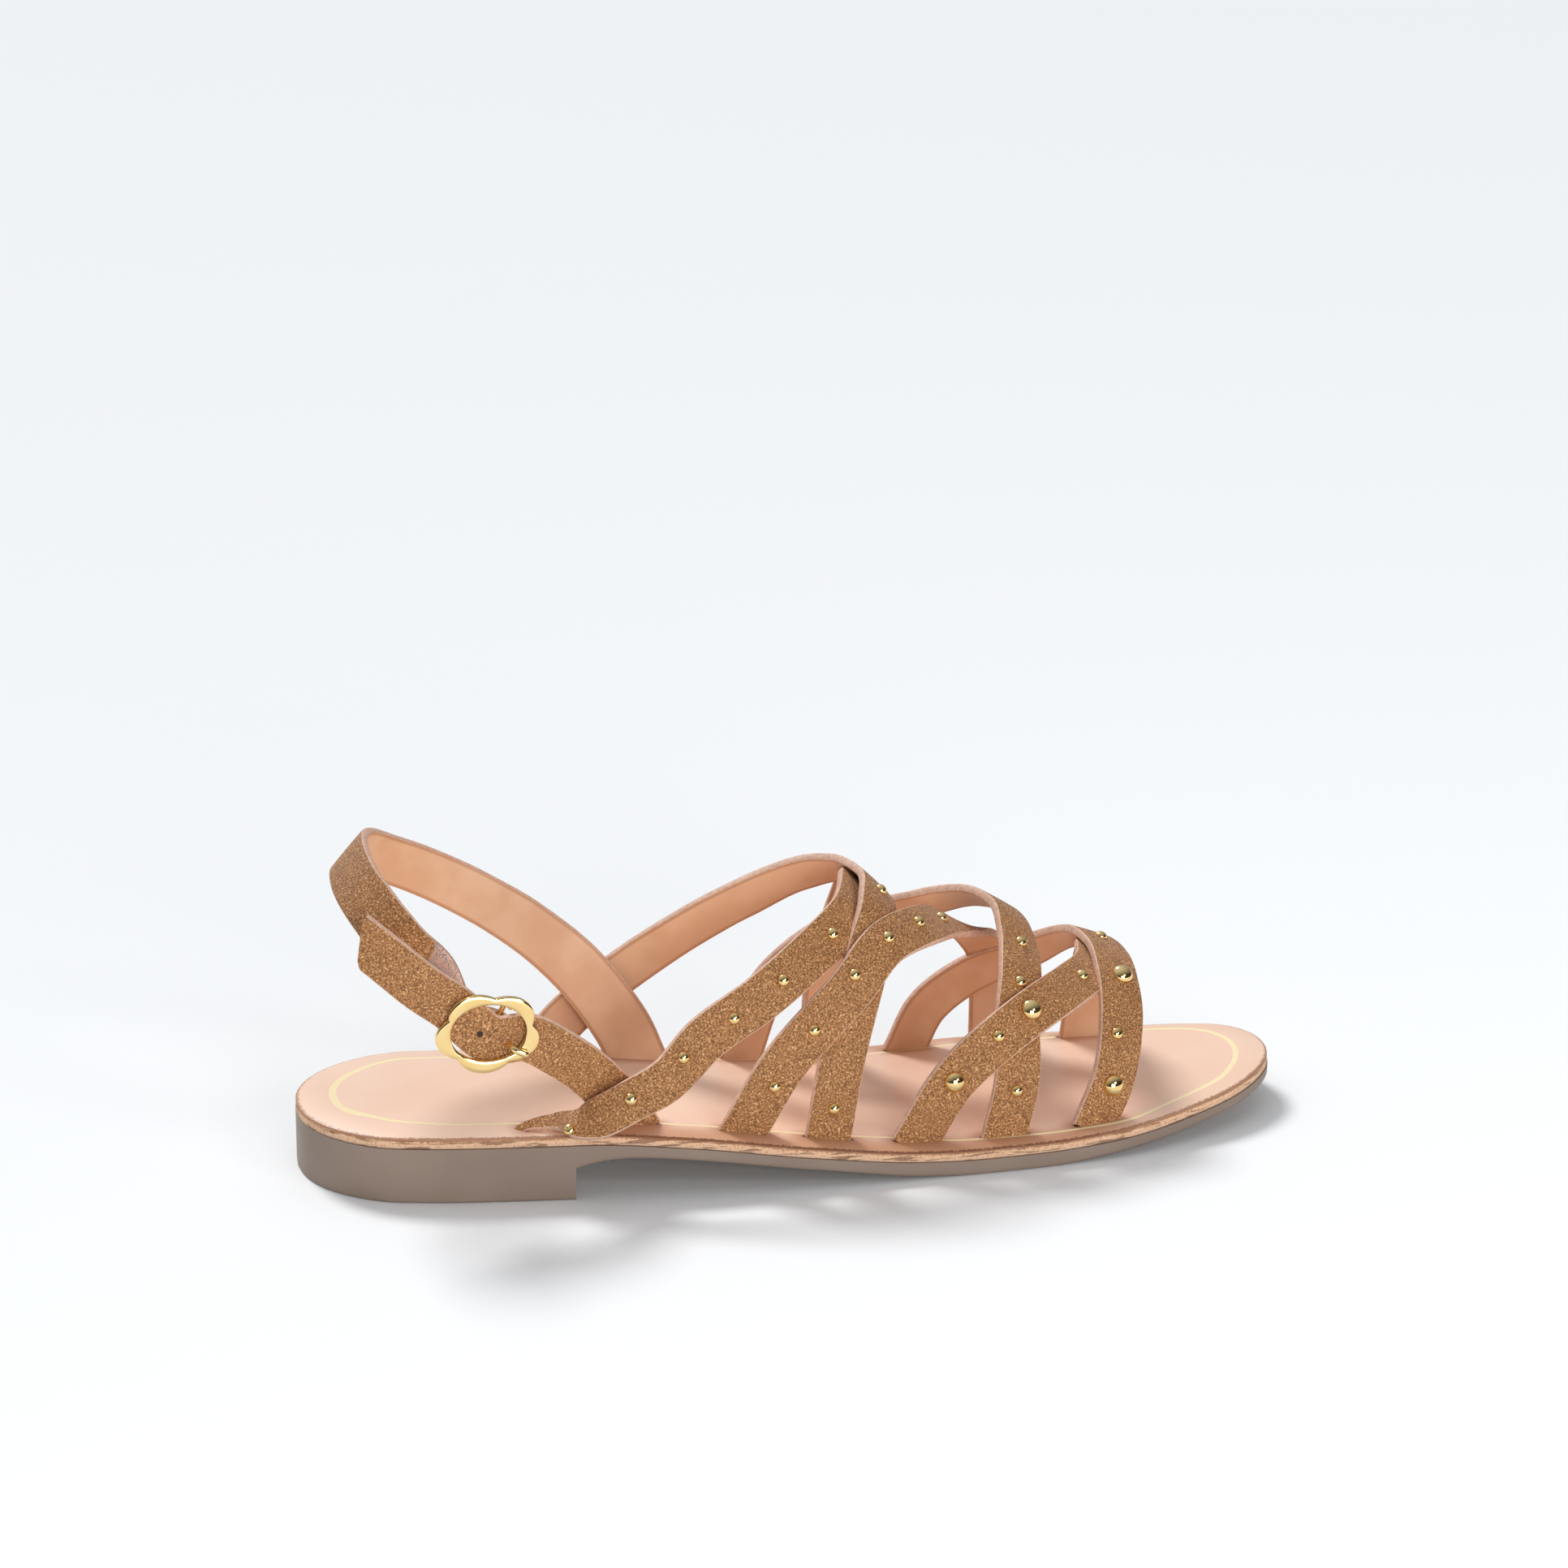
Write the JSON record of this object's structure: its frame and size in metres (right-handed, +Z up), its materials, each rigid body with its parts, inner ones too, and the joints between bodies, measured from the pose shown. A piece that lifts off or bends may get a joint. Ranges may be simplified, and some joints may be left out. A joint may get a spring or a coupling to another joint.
{
  "type": "studded strap sandal",
  "caption": "Flat strap sandal with crossing studded straps, heel sling, flower-shaped buckle and low moulded heel.",
  "frame": {"origin": "middle of the plan box, on the floor under the sole", "axes": "+X from heel to toe, +Y to the inner side of the foot, +Z up"},
  "size_m": [0.2208, 0.0736, 0.0749],
  "materials": {
    "outsole_rubber": "matt moulded",
    "insole_leather": "smooth, raw edge",
    "strap_fabric": "granular nap, leather lining",
    "elastic_fabric": "woven with metallic thread",
    "pale_gold": "polished"
  },
  "bodies": {
    "root": {"outsole": "outsole_rubber", "insole": "insole_leather", "upper": "strap_fabric", "sling_strap": "strap_fabric", "buckle_strap": "strap_fabric", "elastic": "elastic_fabric", "buckle": "pale_gold", "prong": "pale_gold", "stud_1_1": "pale_gold", "stud_1_2": "pale_gold", "stud_1_3": "pale_gold", "stud_1_4": "pale_gold", "stud_1_5": "pale_gold", "stud_1_6": "pale_gold", "stud_2_1": "pale_gold", "stud_2_2": "pale_gold", "stud_2_3": "pale_gold", "stud_2_4": "pale_gold", "stud_2_5": "pale_gold", "stud_2_6": "pale_gold", "stud_3_1": "pale_gold", "stud_3_2": "pale_gold", "stud_4_1": "pale_gold", "stud_4_2": "pale_gold", "stud_4_3": "pale_gold", "stud_4_4": "pale_gold", "stud_5_1": "pale_gold", "stud_5_2": "pale_gold", "stud_5_3": "pale_gold", "stud_6_1": "pale_gold", "stud_6_2": "pale_gold", "stud_6_3": "pale_gold", "stud_6_4": "pale_gold"}
  },
  "joints": []
}
